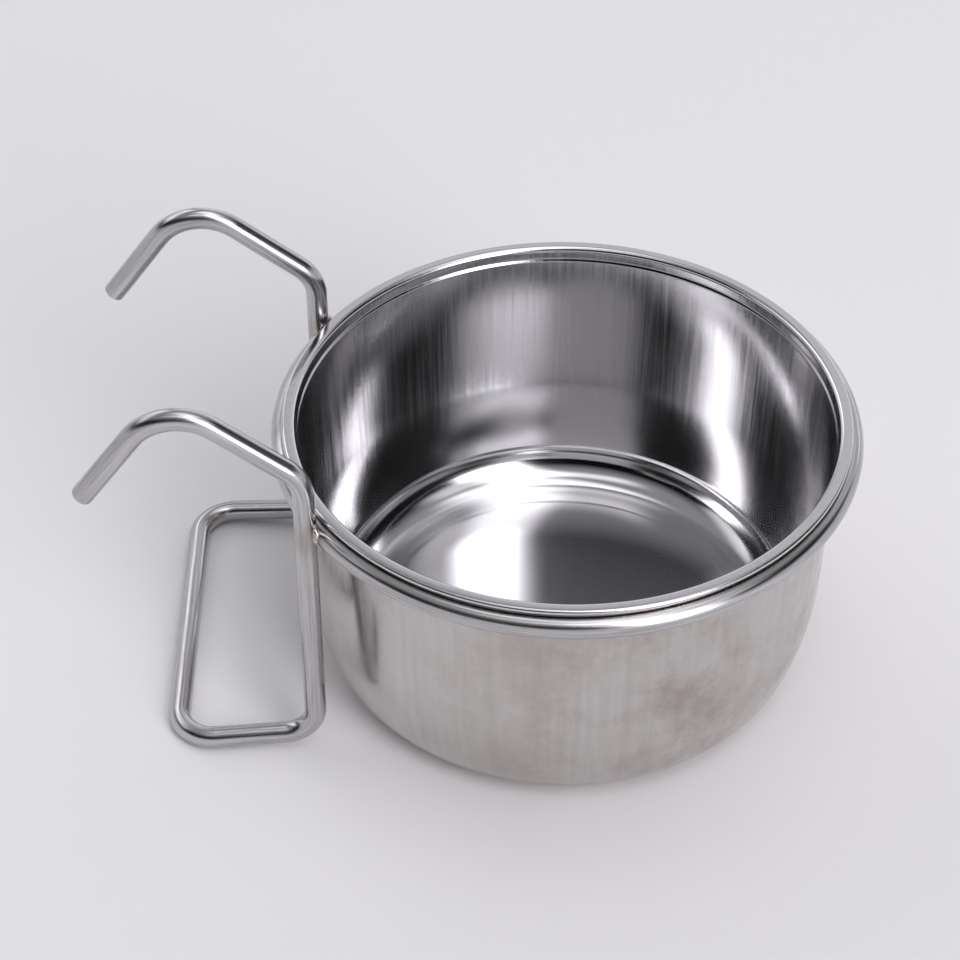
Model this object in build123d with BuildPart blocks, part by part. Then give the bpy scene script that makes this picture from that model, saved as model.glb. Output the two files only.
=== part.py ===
"""Hook-on seed cup: a drawn steel bowl that lifts out of a welded wire holder.

Millimetres, +Z up. The origin is on the bowl's axis, level with the foot that the cup stands on.
The hooks are on the -X side, and the cup is the same on both sides of the XZ plane.
"""

import math
import os

from build123d import *

# Bowl: one round of sheet, drawn deep, with its rim turned out and folded under
sheet = 0.6
rim_height = 55.3
wall_radius = 50.0
wall_draft = 1.5
haunch_height = 14.5
haunch_inset = 4.17
haunch_flat = 0.5
bottom_bend = 9.6
foot_width = 1.5
panel_rise = 0.15
panel_step = 1.0
panel_crown = 0.4
foot_bend = 0.8
neck_height = 2.4
neck_step = 0.4
shoulder_height = 0.5
shoulder_bend = 0.5
lip_width = 2.0
lip_bend = 0.7
hem_return = 1.4
hem_edge_round = 0.55

# Wire: the same round stock makes the ring and the hanger
wire = 4.0
cut_end_round = 0.6

# Support ring: closed circle of wire that the lip sits on
ring_clearance = 0.4
lip_seat_gap = 0.3

# Hanger: one length of wire, from one hook tip, down a leg, round the lower loop and back up
weld_set_down = 1.2
hook_half_gap = 28.8
leg_splay = 2.0
leg_above_ring = 12.7
leg_foot_lift = 1.4
hook_run = 22.75
hook_rise = 18.1
tip_run = 15.9
tip_drop = 21.8
loop_depth = 26.15
loop_flare = 1.05
apex_bend = 10.0
leg_top_bend = 8.0
leg_foot_bend = 6.0
loop_corner_bend = 7.0

# Weld beads: metal pressed out where each leg is welded to the ring
bead_radius = 3.1
bead_half_depth = 1.5

os.makedirs("parts", exist_ok=True)

# Heights and radii that follow from the sizes above
wire_radius = wire / 2
hem_underside = rim_height - 2 * sheet
neck_radius = wall_radius + neck_step
lip_radius = neck_radius + lip_width
shoulder_top = rim_height - neck_height
shoulder_foot = shoulder_top - shoulder_height
haunch_radius = wall_radius - wall_draft * (1 - haunch_height / shoulder_foot)
base_radius = haunch_radius - haunch_inset
ring_radius = wall_radius + ring_clearance + wire_radius
ring_height = hem_underside - lip_seat_gap - wire_radius

# The wall leans out a little and the haunch below it leans more. Two bends share the haunch:
# the bottom bend at the floor, and a wide one into the wall that leaves only the short flat between them
wall_lean = math.atan2(wall_draft, shoulder_foot)
haunch_lean = math.atan2(haunch_inset, haunch_height)
bend_setback = bottom_bend * math.tan((math.pi / 2 - haunch_lean) / 2)
haunch_room = math.hypot(haunch_inset, haunch_height) - bend_setback - haunch_flat
haunch_bend = haunch_room / math.tan((haunch_lean - wall_lean) / 2)
foot_inside = base_radius - bend_setback - foot_width
panel_radius = foot_inside - panel_step

# Middle of the bowl's sheet, from the middle of the floor to the edge of the lip
mid = sheet / 2
panel_edge = (panel_radius, panel_rise + mid)
lip_middle = rim_height - mid

with BuildPart() as bowl:
    with BuildSketch(Plane.XZ) as bowl_section:
        with BuildLine() as sheet_line:
            ThreePointArc((-panel_radius, panel_rise + mid), (0, panel_rise + panel_crown + mid), panel_edge)
            FilletPolyline(
                panel_edge,
                (foot_inside, mid),
                (base_radius - mid, mid),
                (haunch_radius - mid, haunch_height),
                (wall_radius - mid, shoulder_foot),
                (neck_radius - mid, shoulder_top),
                (neck_radius - mid, lip_middle),
                (lip_radius, lip_middle),
                radius=[foot_bend, bottom_bend - mid, haunch_bend - mid, shoulder_bend, shoulder_bend, lip_bend],
            )
        trace(line_width=sheet)
        split(bisect_by=Plane.YZ)
        with Locations((lip_radius - hem_return / 2, lip_middle - sheet)):
            Rectangle(hem_return, sheet)
    revolve(axis=Axis.Z)
    level_edges = bowl.edges().filter_by(GeomType.CIRCLE).filter_by(Plane.XY)
    rim_edges = level_edges.group_by(lambda edge: edge.radius)[-1]
    fillet(rim_edges, radius=hem_edge_round)
bowl.part.label = "bowl"
export_step(bowl.part, "parts/bowl.step")

# The legs stand outside the ring, pressed into it by the set-down of the weld
leg_top = ring_height + leg_above_ring
leg_foot = wire_radius + leg_foot_lift
weld_reach = ring_radius + wire - weld_set_down
weld_half_gap = hook_half_gap + leg_splay * leg_above_ring / (leg_top - leg_foot)
leg_x = -math.sqrt(weld_reach**2 - weld_half_gap**2)
apex_x = leg_x - hook_run
loop_half_width = hook_half_gap + leg_splay + loop_flare

front_corners = [
    (apex_x - tip_run, -hook_half_gap, leg_top + hook_rise - tip_drop),
    (apex_x, -hook_half_gap, leg_top + hook_rise),
    (leg_x, -hook_half_gap, leg_top),
    (leg_x, -hook_half_gap - leg_splay, leg_foot),
    (leg_x - loop_depth, -loop_half_width, wire_radius),
]
back_corners = [(x, -y, z) for x, y, z in reversed(front_corners)]
front_bends = [apex_bend, leg_top_bend, leg_foot_bend, loop_corner_bend]

with BuildPart() as hanger:
    with BuildLine() as hanger_path:
        FilletPolyline(*front_corners, *back_corners, radius=[*front_bends, *reversed(front_bends)])
    with BuildSketch(Plane(origin=hanger_path.line @ 0, z_dir=hanger_path.line % 0)) as hanger_section:
        Circle(wire_radius)
    sweep(path=hanger_path.line)
    cut_ends = hanger.faces().filter_by(GeomType.PLANE)
    fillet(cut_ends.edges(), radius=cut_end_round)
hanger.part.label = "hanger_wire"
export_step(hanger.part, "parts/hanger_wire.step")

# The ring is closed before the legs are welded to it, and each leg is pressed into it there
with BuildPart() as closed_ring:
    with BuildSketch(Plane.XZ) as ring_section:
        with Locations((ring_radius, ring_height)):
            Circle(wire_radius)
    revolve(axis=Axis.Z)

with BuildPart() as ring:
    add(closed_ring.part)
    add(hanger.part, mode=Mode.SUBTRACT)
ring.part.label = "support_ring"
export_step(ring.part, "parts/support_ring.step")

# One flattened bead round each weld, with both wires cut out of it
for side, name in ((-1, "weld_bead_front"), (1, "weld_bead_back")):
    outward = Vector(leg_x, side * weld_half_gap, 0).normalized()
    weld_point = outward * (ring_radius + wire_radius - weld_set_down / 2) + Vector(0, 0, ring_height)
    with BuildPart() as bead:
        with BuildSketch(Plane(origin=weld_point, x_dir=outward, z_dir=(0, 0, 1))) as bead_section:
            Ellipse(bead_half_depth, bead_radius)
            split(bisect_by=Plane.XZ)
        revolve(axis=Axis(weld_point, outward))
        add(hanger.part, mode=Mode.SUBTRACT)
        add(closed_ring.part, mode=Mode.SUBTRACT)
    bead.part.label = name
    export_step(bead.part, f"parts/{name}.step")
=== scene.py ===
"""Looks of a hook-on seed cup: a drawn steel bowl in a welded wire holder. Metres, +Z up, hooks on -X."""
import math

import bmesh
import bpy
from mathutils import Matrix, Vector, noise


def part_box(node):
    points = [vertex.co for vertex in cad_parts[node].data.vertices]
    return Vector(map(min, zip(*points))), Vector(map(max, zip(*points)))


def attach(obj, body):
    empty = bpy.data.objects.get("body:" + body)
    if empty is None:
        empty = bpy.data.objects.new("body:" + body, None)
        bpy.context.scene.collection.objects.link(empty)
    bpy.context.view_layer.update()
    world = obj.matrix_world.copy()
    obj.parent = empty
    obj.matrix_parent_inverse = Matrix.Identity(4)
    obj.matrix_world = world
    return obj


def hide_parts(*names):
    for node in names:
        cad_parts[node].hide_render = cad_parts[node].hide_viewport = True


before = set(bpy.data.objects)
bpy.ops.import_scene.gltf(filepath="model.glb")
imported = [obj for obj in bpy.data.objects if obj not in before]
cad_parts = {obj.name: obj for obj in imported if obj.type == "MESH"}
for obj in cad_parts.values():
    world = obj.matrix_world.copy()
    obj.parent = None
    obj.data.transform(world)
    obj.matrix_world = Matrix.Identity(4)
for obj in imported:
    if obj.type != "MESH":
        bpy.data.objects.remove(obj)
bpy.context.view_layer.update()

# The bowl
# One round of thin stainless sheet, drawn deep in a press. The rim is stepped out, turned flat and
# folded under to a hem, and the floor has a shallow raised panel, so the bowl stands on a narrow ring.
MM = 0.001
bowl_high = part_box("bowl")[1]
rim_height = bowl_high.z
lip_radius = bowl_high.x
sheet = 0.6 * MM
lip_width = 2.0 * MM
neck_height = 2.4 * MM
neck_step = 0.4 * MM
shoulder_height = 0.5 * MM
wall_draft = 1.5 * MM
haunch_height = 14.5 * MM
haunch_inset = 4.17 * MM
haunch_flat = 0.5 * MM
bottom_bend = 9.6 * MM
foot_width = 1.5 * MM
panel_rise = 0.15 * MM
panel_step = 1.0 * MM
panel_crown = 0.4 * MM
hem_return = 1.4 * MM
fold_bend = 0.55 * MM
small_bend = 0.5 * MM
lip_bend = 1.0 * MM
bowl_segments = 288
bend_steps = 14
crown_points = 10
seam_gap = 0.001 * MM

neck_radius = lip_radius - lip_width
wall_radius = neck_radius - neck_step
shoulder_top = rim_height - neck_height
shoulder_foot = shoulder_top - shoulder_height
haunch_radius = wall_radius - wall_draft * (1 - haunch_height / shoulder_foot)
base_radius = haunch_radius - haunch_inset
wall_lean = math.atan2(wall_draft, shoulder_foot)
haunch_lean = math.atan2(haunch_inset, haunch_height)
bend_setback = bottom_bend * math.tan((math.pi / 2 - haunch_lean) / 2)
haunch_room = math.hypot(haunch_inset, haunch_height) - bend_setback - haunch_flat
haunch_bend = haunch_room / math.tan((haunch_lean - wall_lean) / 2)
foot_inside = base_radius - bend_setback - foot_width
panel_radius = foot_inside - panel_step
hem_inside = lip_radius - hem_return


def floor_crown(lift):
    """Points of the slightly domed floor panel, from the axis outwards, with no bend at any of them."""
    radii = [panel_radius * step / crown_points for step in range(crown_points)]
    return [(r, panel_rise + lift + panel_crown * (1 - (r / panel_radius) ** 2), 0) for r in radii]


outer_corners = floor_crown(0) + [
    (panel_radius, panel_rise, small_bend),
    (foot_inside, 0, small_bend),
    (base_radius, 0, bottom_bend),
    (haunch_radius, haunch_height, haunch_bend),
    (wall_radius, shoulder_foot, small_bend),
    (neck_radius, shoulder_top, small_bend),
    (neck_radius, rim_height - sheet, small_bend / 2),
    (hem_inside, rim_height - sheet, 0),
    (hem_inside, rim_height - 2 * sheet, small_bend / 2),
    (lip_radius, rim_height - 2 * sheet, fold_bend),
]
inner_corners = floor_crown(sheet) + [
    (panel_radius, panel_rise + sheet, small_bend * 2),
    (foot_inside, sheet, small_bend * 2),
    (base_radius - sheet, sheet, bottom_bend - sheet),
    (haunch_radius - sheet, haunch_height, haunch_bend - sheet),
    (wall_radius - sheet, shoulder_foot, small_bend),
    (neck_radius - sheet, shoulder_top, small_bend),
    (neck_radius - sheet, rim_height, lip_bend),
    (lip_radius, rim_height, fold_bend),
]


def line_mesh(name, corners, closed=False, inside_from=None):
    """Corners as a mesh of edges. Each holds the bend to be made there, and whether it is on the inside."""
    last = len(corners) - 1
    edges = [(step, step + 1) for step in range(last)]
    if closed:
        edges.append((last, 0))
    mesh = bpy.data.meshes.new(name)
    mesh.from_pydata([corner[:3] for corner in corners], edges, [])
    bends = mesh.attributes.new("bend", "FLOAT", "POINT")
    bends.data.foreach_set("value", [corner[3] for corner in corners])
    inside = mesh.attributes.new("inside", "FLOAT", "POINT")
    first_inside = len(corners) if inside_from is None else inside_from
    inside.data.foreach_set("value", [float(step >= first_inside) for step in range(len(corners))])
    return mesh


def add_node(tree, kind, inputs=None, **settings):
    """A node with its settings. Each input is a plain value, or an output socket to link from."""
    node = tree.nodes.new(kind)
    for setting, value in settings.items():
        setattr(node, setting, value)
    for socket, value in (inputs or {}).items():
        if isinstance(value, bpy.types.NodeSocket):
            tree.links.new(value, node.inputs[socket])
        else:
            node.inputs[socket].default_value = value
    return node


def start_tree(name, sizes):
    """An empty geometry tree with named inputs, and the sockets of its group input."""
    tree = bpy.data.node_groups.new(name, "GeometryNodeTree")
    tree.interface.new_socket("Geometry", in_out="OUTPUT", socket_type="NodeSocketGeometry")
    tree.interface.new_socket("Geometry", in_out="INPUT", socket_type="NodeSocketGeometry")
    for size, kind in sizes.items():
        tree.interface.new_socket(size, in_out="INPUT", socket_type="NodeSocket" + kind)
    return tree, add_node(tree, "NodeGroupInput").outputs


def run_tree(piece_name, start_mesh, tree, values):
    """Runs a tree on a starting mesh, and gives the result as an object with a plain mesh."""
    worker = bpy.data.objects.new(piece_name + "_start", start_mesh)
    bpy.context.scene.collection.objects.link(worker)
    modifier = worker.modifiers.new("shape", "NODES")
    modifier.node_group = tree
    for item in tree.interface.items_tree:
        if item.name in values:
            modifier[item.identifier] = values[item.name]
    evaluated = worker.evaluated_get(bpy.context.evaluated_depsgraph_get())
    mesh = bpy.data.meshes.new_from_object(evaluated)
    mesh.name = piece_name
    bpy.data.objects.remove(worker)
    piece = bpy.data.objects.new(piece_name, mesh)
    bpy.context.scene.collection.objects.link(piece)
    return piece


def linear(hex_colour):
    """An sRGB hex colour as linear RGBA."""
    shares = [int(hex_colour[at:at + 2], 16) / 255 for at in (1, 3, 5)]
    return [s / 12.92 if s <= 0.04045 else ((s + 0.055) / 1.055) ** 2.4 for s in shares] + [1.0]


def start_material(name):
    """A new material with its tree and its shader node."""
    material = bpy.data.materials.new(name)
    material.use_nodes = True
    return material, material.node_tree, material.node_tree.nodes["Principled BSDF"]


def drawn_lines(tree, width, length):
    """Noise in lines that run up the drawn wall, each about this wide and this long. Gives its output."""
    place = add_node(tree, "ShaderNodeTexCoord")
    level = add_node(tree, "ShaderNodeVectorMath", {
        0: place.outputs["Object"], 1: (1, 1, 0),
    }, operation="MULTIPLY")
    facing = add_node(tree, "ShaderNodeVectorMath", {0: level.outputs[0]}, operation="NORMALIZE")
    across = add_node(tree, "ShaderNodeVectorMath", {
        0: facing.outputs[0], "Scale": wall_radius / width,
    }, operation="SCALE")
    upright = add_node(tree, "ShaderNodeVectorMath", {
        0: place.outputs["Object"], 1: (0, 0, 1 / length), 2: across.outputs[0],
    }, operation="MULTIPLY_ADD")
    return add_node(tree, "ShaderNodeTexNoise", {
        "Vector": upright.outputs[0], "Scale": 1.0, "Detail": 2.0, "Roughness": 0.6,
    }).outputs["Fac"]


# Polished stainless steel: close to a mirror, with faint lines up the wall where the sheet slid over the
# punch. They spread each reflection sideways, and they stop at the bend, because the floor wasn't drawn.
# The real lines are about a fifth as wide, too fine to show, so they are drawn coarser.
punch_line_width = 0.7 * MM
punch_line_length = 30 * MM
punch_line_depth = 0.008 * MM
polished, tree, shader = start_material("polished_stainless_steel")
shader.inputs["Base Color"].default_value = linear("#D3D2D3")
shader.inputs["Metallic"].default_value = 1.0
shader.inputs["Anisotropic"].default_value = 0.65
place = add_node(tree, "ShaderNodeTexCoord")
height = add_node(tree, "ShaderNodeSeparateXYZ", {"Vector": place.outputs["Object"]})
drawn = add_node(tree, "ShaderNodeMapRange", {
    "Value": height.outputs["Z"], "From Min": haunch_height / 2, "From Max": haunch_height * 2,
}, interpolation_type="SMOOTHSTEP")
lines = drawn_lines(tree, punch_line_width, punch_line_length)
wear = add_node(tree, "ShaderNodeMapRange", {
    "Value": lines, "From Min": 0.3, "From Max": 0.7, "To Min": 0.1, "To Max": 0.18,
})
dull = add_node(tree, "ShaderNodeMix", {
    "Factor": drawn.outputs["Result"], "A": 0.1, "B": wear.outputs["Result"],
}, data_type="FLOAT")
tree.links.new(dull.outputs[0], shader.inputs["Roughness"])
grain = add_node(tree, "ShaderNodeTangent", direction_type="RADIAL", axis="Z")
tree.links.new(grain.outputs["Tangent"], shader.inputs["Tangent"])
relief = add_node(tree, "ShaderNodeMath", {0: lines, 1: drawn.outputs["Result"]}, operation="MULTIPLY")
scratched = add_node(tree, "ShaderNodeBump", {
    "Height": relief.outputs[0], "Strength": 0.2, "Distance": punch_line_depth,
})
tree.links.new(scratched.outputs["Normal"], shader.inputs["Normal"])

# Satin stainless steel: left as it came from the press, so duller than the inside, with soft bands up the
# wall. Handling has left warm, dull clouds on it, more on the side that is held, away from the hooks.
# A Mix node's colour sockets share their names with others, so they go by their places.
COLOUR_A, COLOUR_B, COLOUR_RESULT = 6, 7, 2
press_band_width = 1.8 * MM
press_band_length = 26 * MM
press_band_depth = 0.03 * MM
cloud_size = 20 * MM
held_from = -30 * MM
held_to = 20 * MM
satin, tree, shader = start_material("satin_stainless_steel")
shader.inputs["Metallic"].default_value = 1.0
shader.inputs["Anisotropic"].default_value = 0.4
place = add_node(tree, "ShaderNodeTexCoord")
lines = drawn_lines(tree, press_band_width, press_band_length)
steel = add_node(tree, "ShaderNodeMix", {
    "Factor": lines, COLOUR_A: linear("#B8B4B1"), COLOUR_B: linear("#D8D4D1"),
}, data_type="RGBA")
clouds = add_node(tree, "ShaderNodeTexNoise", {
    "Vector": place.outputs["Object"], "Scale": 1 / cloud_size, "Detail": 8.0, "Roughness": 0.74,
})
cloudy = add_node(tree, "ShaderNodeMapRange", {
    "Value": clouds.outputs["Fac"], "From Min": 0.33, "From Max": 0.63, "To Min": 0.95, "To Max": 0.05,
}, interpolation_type="SMOOTHSTEP")
side = add_node(tree, "ShaderNodeSeparateXYZ", {"Vector": place.outputs["Object"]})
held = add_node(tree, "ShaderNodeMapRange", {
    "Value": side.outputs["X"], "From Min": held_from, "From Max": held_to, "To Min": 0.35, "To Max": 0.9,
}, interpolation_type="SMOOTHSTEP")
handled = add_node(tree, "ShaderNodeMath", {
    0: cloudy.outputs["Result"], 1: held.outputs["Result"],
}, operation="MULTIPLY")
tint = add_node(tree, "ShaderNodeMix", {
    "Factor": handled.outputs[0], COLOUR_A: steel.outputs[COLOUR_RESULT], COLOUR_B: linear("#A69B95"),
}, data_type="RGBA")
tree.links.new(tint.outputs[COLOUR_RESULT], shader.inputs["Base Color"])
worn = add_node(tree, "ShaderNodeMath", {0: lines, 1: clouds.outputs["Fac"]}, operation="SUBTRACT")
haze = add_node(tree, "ShaderNodeMapRange", {
    "Value": worn.outputs[0], "From Min": -0.25, "From Max": 0.25, "To Min": 0.1, "To Max": 0.26,
})
tree.links.new(haze.outputs["Result"], shader.inputs["Roughness"])
grain = add_node(tree, "ShaderNodeTangent", direction_type="RADIAL", axis="Z")
tree.links.new(grain.outputs["Tangent"], shader.inputs["Tangent"])
pressed = add_node(tree, "ShaderNodeBump", {
    "Height": lines, "Strength": 0.3, "Distance": press_band_depth,
})
tree.links.new(pressed.outputs["Normal"], shader.inputs["Normal"])

# The section is rounded at its corners, laid out beside a circle of the lip's size and swept round it
spun, given = start_tree("spun_section", {
    "Turning Radius": "Float", "Segments": "Int", "Bend Steps": "Int",
    "Inside": "Material", "Outside": "Material",
})
section = add_node(spun, "GeometryNodeMeshToCurve", {"Mesh": given["Geometry"]})
bend = add_node(spun, "GeometryNodeInputNamedAttribute", {"Name": "bend"}, data_type="FLOAT")
rounded = add_node(spun, "GeometryNodeFilletCurve", {
    "Curve": section.outputs["Curve"], "Count": given["Bend Steps"], "Radius": bend.outputs["Attribute"],
    "Limit Radius": True,
}, mode="POLY")
place = add_node(spun, "GeometryNodeInputPosition")
parts = add_node(spun, "ShaderNodeSeparateXYZ", {"Vector": place.outputs["Position"]})
across = add_node(spun, "ShaderNodeMath", {
    0: parts.outputs["X"], 1: given["Turning Radius"],
}, operation="SUBTRACT")
down = add_node(spun, "ShaderNodeMath", {0: parts.outputs["Z"], 1: -1.0}, operation="MULTIPLY")
turned = add_node(spun, "ShaderNodeCombineXYZ", {"X": across.outputs[0], "Y": down.outputs[0]})
flat = add_node(spun, "GeometryNodeSetPosition", {
    "Geometry": rounded.outputs["Curve"], "Position": turned.outputs["Vector"],
})
lathe = add_node(spun, "GeometryNodeCurvePrimitiveCircle", {
    "Resolution": given["Segments"], "Radius": given["Turning Radius"],
}, mode="RADIUS")
skin = add_node(spun, "GeometryNodeCurveToMesh", {
    "Curve": lathe.outputs["Curve"], "Profile Curve": flat.outputs["Geometry"],
})
closed = add_node(spun, "GeometryNodeMergeByDistance", {
    "Geometry": skin.outputs["Mesh"], "Distance": seam_gap,
})
smooth = add_node(spun, "GeometryNodeSetShadeSmooth", {"Geometry": closed.outputs["Geometry"]})
real = add_node(spun, "GeometryNodeRealizeInstances", {"Geometry": smooth.outputs["Geometry"]})
outside = add_node(spun, "GeometryNodeSetMaterial", {
    "Geometry": real.outputs["Geometry"], "Material": given["Outside"],
})
inside = add_node(spun, "GeometryNodeInputNamedAttribute", {"Name": "inside"}, data_type="FLOAT")
is_inside = add_node(spun, "FunctionNodeCompare", {
    0: inside.outputs["Attribute"], 1: 0.5,
}, operation="GREATER_THAN")
finished = add_node(spun, "GeometryNodeSetMaterial", {
    "Geometry": outside.outputs["Geometry"], "Selection": is_inside.outputs["Result"],
    "Material": given["Inside"],
})
add_node(spun, "NodeGroupOutput", {"Geometry": finished.outputs["Geometry"]})

section_corners = [(r, 0, z, bend) for r, z, bend in outer_corners + inner_corners[::-1]]
section_line = line_mesh("bowl_section", section_corners, inside_from=len(outer_corners))
bowl = run_tree("bowl_finish", section_line, spun, {
    "Turning Radius": lip_radius, "Segments": bowl_segments, "Bend Steps": bend_steps,
    "Inside": polished, "Outside": satin,
})
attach(bowl, "bowl")
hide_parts("bowl")

# The support ring
# One length of round stainless wire closed to a circle, which holds the bowl up by its lip.
# Drawn through a die and polished, so it has a bright surface with fine lines along it.
ring_low, ring_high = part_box("support_ring")
wire_radius = (ring_high.z - ring_low.z) / 2
ring_radius = ring_high.x - wire_radius
ring_height = ring_low.z + wire_radius
ring_points = 240
wire_sides = 40

# The legs of the hanger stand outside the ring, and the welds are where they meet it
weld_set_down = 1.2 * MM
hook_half_gap = 28.8 * MM
leg_splay = 2.0 * MM
leg_above_ring = 12.7 * MM
leg_foot_lift = 1.4 * MM

leg_top = ring_height + leg_above_ring
leg_foot = wire_radius + leg_foot_lift
weld_reach = ring_radius + 2 * wire_radius - weld_set_down
weld_half_gap = hook_half_gap + leg_splay * leg_above_ring / (leg_top - leg_foot)
leg_x = -math.sqrt(weld_reach ** 2 - weld_half_gap ** 2)
front_weld = Vector((leg_x, -weld_half_gap, ring_height)) * ((ring_radius + wire_radius) / weld_reach)
front_weld.z = ring_height
back_weld = Vector((front_weld.x, -front_weld.y, front_weld.z))

# Bright drawn stainless wire: long clear reflections, broken up by worn lines that the die left along it, and
# a brown heat tint for a few millimetres round each weld. The real lines are about a tenth as wide, too fine
# to show, so they are drawn coarser.
die_line_width = 0.35 * MM
die_line_length = 14 * MM
die_line_depth = 0.02 * MM
heat_full = 2.5 * MM
heat_end = 5.5 * MM
bright_wire, tree, shader = start_material("bright_drawn_steel_wire")
shader.inputs["Metallic"].default_value = 1.0
around = add_node(tree, "ShaderNodeAttribute", attribute_name="around")
along = add_node(tree, "ShaderNodeAttribute", attribute_name="along")
run = add_node(tree, "ShaderNodeMath", {
    0: along.outputs["Fac"], 1: 1 / die_line_length,
}, operation="MULTIPLY")
lengthwise = add_node(tree, "ShaderNodeCombineXYZ", {"Z": run.outputs[0]})
die_place = add_node(tree, "ShaderNodeVectorMath", {
    0: around.outputs["Vector"], 1: [1 / die_line_width] * 3, 2: lengthwise.outputs[0],
}, operation="MULTIPLY_ADD")
die_lines = add_node(tree, "ShaderNodeTexNoise", {
    "Vector": die_place.outputs[0], "Scale": 1.0, "Detail": 3.0, "Roughness": 0.6,
})
gloss = add_node(tree, "ShaderNodeMapRange", {
    "Value": die_lines.outputs["Fac"], "From Min": 0.3, "From Max": 0.7, "To Min": 0.16, "To Max": 0.3,
})
tree.links.new(gloss.outputs["Result"], shader.inputs["Roughness"])
wear = add_node(tree, "ShaderNodeMapRange", {
    "Value": die_lines.outputs["Fac"], "From Min": 0.35, "From Max": 0.65,
})
steel = add_node(tree, "ShaderNodeMix", {
    "Factor": wear.outputs["Result"], COLOUR_A: linear("#CCCBCC"), COLOUR_B: linear("#AEACAC"),
}, data_type="RGBA")
place = add_node(tree, "ShaderNodeTexCoord")
front_reach = add_node(tree, "ShaderNodeVectorMath", {
    0: place.outputs["Object"], 1: front_weld,
}, operation="DISTANCE")
back_reach = add_node(tree, "ShaderNodeVectorMath", {
    0: place.outputs["Object"], 1: back_weld,
}, operation="DISTANCE")
reach = add_node(tree, "ShaderNodeMath", {
    0: front_reach.outputs["Value"], 1: back_reach.outputs["Value"],
}, operation="MINIMUM")
heat = add_node(tree, "ShaderNodeMapRange", {
    "Value": reach.outputs[0], "From Min": heat_full, "From Max": heat_end, "To Min": 0.35, "To Max": 0.0,
}, interpolation_type="SMOOTHSTEP")
tint = add_node(tree, "ShaderNodeMix", {
    "Factor": heat.outputs["Result"], COLOUR_A: steel.outputs[COLOUR_RESULT], COLOUR_B: linear("#8E7C6C"),
}, data_type="RGBA")
tree.links.new(tint.outputs[COLOUR_RESULT], shader.inputs["Base Color"])
die_marks = add_node(tree, "ShaderNodeBump", {
    "Height": die_lines.outputs["Fac"], "Strength": 0.3, "Distance": die_line_depth,
})
tree.links.new(die_marks.outputs["Normal"], shader.inputs["Normal"])

# A round section is swept along a line with rounded corners. It keeps how far along and where round it is
swept, given = start_tree("swept_wire", {
    "Wire Radius": "Float", "Sides": "Int", "Bend Steps": "Int", "Finish": "Material",
})
path = add_node(swept, "GeometryNodeMeshToCurve", {"Mesh": given["Geometry"]})
bend = add_node(swept, "GeometryNodeInputNamedAttribute", {"Name": "bend"}, data_type="FLOAT")
bent = add_node(swept, "GeometryNodeFilletCurve", {
    "Curve": path.outputs["Curve"], "Count": given["Bend Steps"], "Radius": bend.outputs["Attribute"],
    "Limit Radius": True,
}, mode="POLY")
travel = add_node(swept, "GeometryNodeSplineParameter")
measured = add_node(swept, "GeometryNodeStoreNamedAttribute", {
    "Geometry": bent.outputs["Curve"], "Name": "along", "Value": travel.outputs["Length"],
}, data_type="FLOAT", domain="POINT")
round_section = add_node(swept, "GeometryNodeCurvePrimitiveCircle", {
    "Resolution": given["Sides"], "Radius": given["Wire Radius"],
}, mode="RADIUS")
place = add_node(swept, "GeometryNodeInputPosition")
marked_section = add_node(swept, "GeometryNodeStoreNamedAttribute", {
    "Geometry": round_section.outputs["Curve"], "Name": "around", "Value": place.outputs["Position"],
}, data_type="FLOAT_VECTOR", domain="POINT")
wire_skin = add_node(swept, "GeometryNodeCurveToMesh", {
    "Curve": measured.outputs["Geometry"], "Profile Curve": marked_section.outputs["Geometry"],
    "Fill Caps": True,
})
wire_smooth = add_node(swept, "GeometryNodeSetShadeSmooth", {"Geometry": wire_skin.outputs["Mesh"]})
wire_real = add_node(swept, "GeometryNodeRealizeInstances", {"Geometry": wire_smooth.outputs["Geometry"]})
wire_finish = add_node(swept, "GeometryNodeSetMaterial", {
    "Geometry": wire_real.outputs["Geometry"], "Material": given["Finish"],
})
add_node(swept, "NodeGroupOutput", {"Geometry": wire_finish.outputs["Geometry"]})

ring_line = []
ring_joint = math.atan2(back_weld.y, back_weld.x)
for step in range(ring_points):
    angle = ring_joint + math.tau * step / ring_points
    ring_line.append((ring_radius * math.cos(angle), ring_radius * math.sin(angle), ring_height, 0))
ring = run_tree("support_ring_finish", line_mesh("ring_line", ring_line, closed=True), swept, {
    "Wire Radius": wire_radius, "Sides": wire_sides, "Bend Steps": bend_steps, "Finish": bright_wire,
})
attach(ring, "holder")
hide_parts("support_ring")

# The hanger
# One length of the same wire, bent cold: a hook, a leg, the lower loop, the other leg and the other hook.
# The legs are pressed a little into the ring where they are welded, and the hooks end in deburred cuts.
hook_run = 22.75 * MM
hook_rise = 18.1 * MM
tip_run = 15.9 * MM
tip_drop = 21.8 * MM
loop_depth = 26.15 * MM
loop_flare = 1.05 * MM
apex_bend = 10.0 * MM
leg_top_bend = 8.0 * MM
leg_foot_bend = 6.0 * MM
loop_corner_bend = 7.0 * MM
cut_end_round = 0.6 * MM
cut_end_steps = 5
sharp_angle = math.radians(60)

apex_x = leg_x - hook_run
loop_half_width = hook_half_gap + leg_splay + loop_flare
front_line = [
    (apex_x - tip_run, -hook_half_gap, leg_top + hook_rise - tip_drop, 0),
    (apex_x, -hook_half_gap, leg_top + hook_rise, apex_bend),
    (leg_x, -hook_half_gap, leg_top, leg_top_bend),
    (leg_x, -hook_half_gap - leg_splay, leg_foot, leg_foot_bend),
    (leg_x - loop_depth, -loop_half_width, wire_radius, loop_corner_bend),
]
back_line = [(x, -y, z, bend) for x, y, z, bend in reversed(front_line)]

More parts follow.
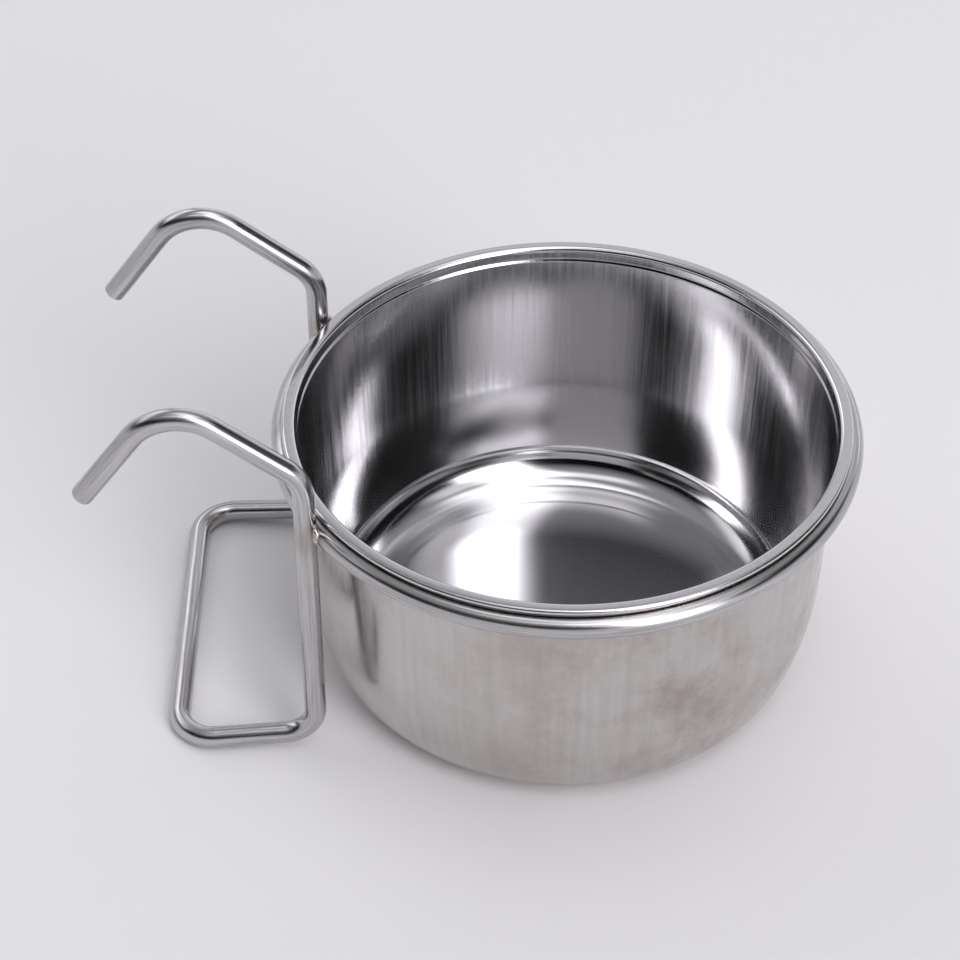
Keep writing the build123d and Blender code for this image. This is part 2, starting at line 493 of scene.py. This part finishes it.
hanger = run_tree("hanger_wire_finish", line_mesh("hanger_line", front_line + back_line), swept, {
    "Wire Radius": wire_radius, "Sides": wire_sides, "Bend Steps": bend_steps * 2, "Finish": bright_wire,
})
shape = bmesh.new()
shape.from_mesh(hanger.data)
cut_edges = []
for edge in shape.edges:
    if len(edge.link_faces) == 2 and edge.calc_face_angle() > sharp_angle:
        cut_edges.append(edge)
bmesh.ops.bevel(
    shape, geom=cut_edges, offset=cut_end_round, segments=cut_end_steps, profile=0.5, affect="EDGES",
)
shape.to_mesh(hanger.data)
shape.free()
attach(hanger, "holder")
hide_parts("hanger_wire")

# The two welds
# Metal pressed out from between leg and ring where they are resistance-welded. It sets in soft lumps,
# brown in the hollows and bright where the scale has been wiped off.
bead_radius = 3.05 * MM
bead_half_depth = 1.5 * MM

# Lumps as shares of the bead's radius
lump_height = 0.16
lump_size = 1.1

# Weld metal: stainless that has melted and set again, so grey-brown to bright, half dull and finely pitted
pit_size = 0.9 * MM
pit_depth = 0.1 * MM
weld_metal, tree, shader = start_material("weld_metal")
shader.inputs["Metallic"].default_value = 1.0
place = add_node(tree, "ShaderNodeTexCoord")
scale_marks = add_node(tree, "ShaderNodeTexNoise", {
    "Vector": place.outputs["Object"], "Scale": 1 / pit_size, "Detail": 4.0, "Roughness": 0.65,
})
tint = add_node(tree, "ShaderNodeValToRGB", {"Fac": scale_marks.outputs["Fac"]})
tint.color_ramp.elements[0].position = 0.35
tint.color_ramp.elements[0].color = linear("#9A9088")
tint.color_ramp.elements[1].position = 0.6
tint.color_ramp.elements[1].color = linear("#E0DEDB")
tree.links.new(tint.outputs["Color"], shader.inputs["Base Color"])
gloss = add_node(tree, "ShaderNodeMapRange", {
    "Value": scale_marks.outputs["Fac"], "From Min": 0.3, "From Max": 0.7, "To Min": 0.34, "To Max": 0.12,
})
tree.links.new(gloss.outputs["Result"], shader.inputs["Roughness"])
pits = add_node(tree, "ShaderNodeBump", {
    "Height": scale_marks.outputs["Fac"], "Strength": 0.4, "Distance": pit_depth,
})
tree.links.new(pits.outputs["Normal"], shader.inputs["Normal"])

for name, centre in (("weld_bead_front", front_weld), ("weld_bead_back", back_weld)):
    outward = Vector((centre.x, centre.y, 0)).normalized()
    sunk = centre - outward * weld_set_down / 2
    shape = bmesh.new()
    bmesh.ops.create_icosphere(shape, subdivisions=5, radius=1.0)
    for point in shape.verts:
        point.co *= 1 + lump_height * (noise.noise(point.co / lump_size + centre / MM) - 0.5)
    facing = outward.to_track_quat("X", "Z").to_matrix().to_4x4()
    size = Matrix.Diagonal((bead_half_depth, bead_radius, bead_radius, 1))
    bmesh.ops.transform(shape, matrix=Matrix.Translation(sunk) @ facing @ size, verts=shape.verts)
    for face in shape.faces:
        face.smooth = True
    mesh = bpy.data.meshes.new(name + "_finish")
    shape.to_mesh(mesh)
    shape.free()
    mesh.materials.append(weld_metal)
    bead = bpy.data.objects.new(name + "_finish", mesh)
    bpy.context.scene.collection.objects.link(bead)
    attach(bead, "holder")
    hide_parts(name)

# The stage
# A plain pale floor that the cup stands on.
floor_half = 4.0
floor_mesh = bpy.data.meshes.new("floor")
floor_corners = [(x * floor_half, y * floor_half, 0) for x, y in ((-1, -1), (1, -1), (1, 1), (-1, 1))]
floor_mesh.from_pydata(floor_corners, [], [(0, 1, 2, 3)])
pale, tree, shader = start_material("pale_matt_floor")
shader.inputs["Base Color"].default_value = linear("#F0EFEF")
shader.inputs["Roughness"].default_value = 0.8
floor_mesh.materials.append(pale)
floor = bpy.data.objects.new("floor", floor_mesh)
bpy.context.scene.collection.objects.link(floor)

# The light
# Soft boxes in a dark room, a little cool, that fade out at their edges as a cloth front does. The dark gaps
# between them draw the steel. Turns are degrees leftwards from the front, and rises degrees above the floor.
light_distance = 2.5
soft_edge = 0.54
box_colour = "#FAF9FF"
soft_boxes = {
    "main_box": {"turn": -38, "rise": 29, "width": 1.0, "height": 2.0, "glow": 4.0},
    "upper_box": {"turn": -33, "rise": 46, "width": 0.93, "height": 3.1, "glow": 2.2},
    "long_box": {"turn": 136, "rise": 37, "width": 2.2, "height": 0.43, "glow": 1.45},
    "long_edge": {"turn": 124, "rise": 42, "width": 2.9, "height": 0.79, "glow": 1.0},
    "low_panel": {"turn": 144, "rise": 24, "width": 1.5, "height": 0.6, "glow": 0.95},
    "back_panel": {"turn": -157, "rise": 29, "width": 2.93, "height": 1.9, "glow": 0.7},
    "overhead_box": {"turn": -135, "rise": 81, "width": 1.6, "height": 1.1, "glow": 1.5},
    "front_panel": {"turn": 14, "rise": 71, "width": 1.5, "height": 0.45, "glow": 1.1},
    "side_panel": {"turn": -68, "rise": 52, "width": 0.7, "height": 0.9, "glow": 0.7},
}
for name, box in soft_boxes.items():
    turn = math.radians(box["turn"])
    rise = math.radians(box["rise"])
    away = Vector((-math.sin(turn) * math.cos(rise), -math.cos(turn) * math.cos(rise), math.sin(rise)))
    lamp_data = bpy.data.lights.new(name, "AREA")
    lamp_data.shape = "RECTANGLE"
    lamp_data.color = linear(box_colour)[:3]
    lamp_data.size = box["width"] + soft_edge
    lamp_data.size_y = box["height"] + soft_edge
    lamp_data.energy = box["glow"] * math.pi * lamp_data.size * lamp_data.size_y
    lamp_data.use_nodes = True
    tree = lamp_data.node_tree
    place = add_node(tree, "ShaderNodeNewGeometry")
    from_middle = add_node(tree, "ShaderNodeVectorMath", {
        0: place.outputs["Parametric"], 1: (2, 2, 0), 2: (-1, -1, 0),
    }, operation="MULTIPLY_ADD")
    spread = add_node(tree, "ShaderNodeVectorMath", {0: from_middle.outputs[0]}, operation="ABSOLUTE")
    sides = add_node(tree, "ShaderNodeSeparateXYZ", {"Vector": spread.outputs[0]})
    fades = []
    for axis, length in (("X", lamp_data.size), ("Y", lamp_data.size_y)):
        fades.append(add_node(tree, "ShaderNodeMapRange", {
            "Value": sides.outputs[axis], "From Min": 1.0, "From Max": 1 - 2 * soft_edge / length,
        }, interpolation_type="SMOOTHSTEP").outputs["Result"])
    fade = add_node(tree, "ShaderNodeMath", {0: fades[0], 1: fades[1]}, operation="MULTIPLY")
    tree.links.new(fade.outputs[0], tree.nodes["Emission"].inputs["Strength"])
    lamp = bpy.data.objects.new(name, lamp_data)
    lamp.location = away * light_distance
    lamp.rotation_euler = away.to_track_quat("Z", "Y").to_euler()
    bpy.context.scene.collection.objects.link(lamp)

# The room's tone at each height of the view, from 0 at the horizon to 1 overhead
room_tones = {0.2: "#D6D6D9", 0.36: "#0A0A0B", 0.66: "#0A0A0B", 0.84: "#9A9A9D"}
world = bpy.data.worlds.new("studio")
world.use_nodes = True
tree = world.node_tree
place = add_node(tree, "ShaderNodeTexCoord")
height = add_node(tree, "ShaderNodeSeparateXYZ", {"Vector": place.outputs["Generated"]})
room = add_node(tree, "ShaderNodeValToRGB", {"Fac": height.outputs["Z"]})
stops = room.color_ramp.elements
while len(stops) < len(room_tones):
    stops.new(1.0)
for stop, (rise, tone) in zip(stops, room_tones.items()):
    stop.position = rise
    stop.color = linear(tone)
tree.links.new(room.outputs["Color"], tree.nodes["Background"].inputs["Color"])
bpy.context.scene.world = world
bpy.context.scene.view_settings.view_transform = "Standard"

# The camera
# Level with no tilt to the side, looking down at the cup from the front.
camera_turn = math.radians(-0.4068)
camera_rise = math.radians(41.7686)
camera_lens = 97.24
camera_distance = 495.7 * MM
camera_slide = -15.96 * MM
camera_drop = -10.02 * MM
aim = Vector((0, 0, 25 * MM))
back = Vector((
    math.sin(camera_turn) * math.cos(camera_rise),
    -math.cos(camera_turn) * math.cos(camera_rise),
    math.sin(camera_rise),
))
right = Vector((math.cos(camera_turn), math.sin(camera_turn), 0))
downward = right.cross(back)
camera_data = bpy.data.cameras.new("camera")
camera_data.lens = camera_lens
camera_data.sensor_width = 36.0
camera = bpy.data.objects.new("camera", camera_data)
camera.location = aim + back * camera_distance + right * camera_slide + downward * camera_drop
camera.rotation_euler = (math.pi / 2 - camera_rise, 0, camera_turn)
bpy.context.scene.collection.objects.link(camera)
bpy.context.scene.camera = camera
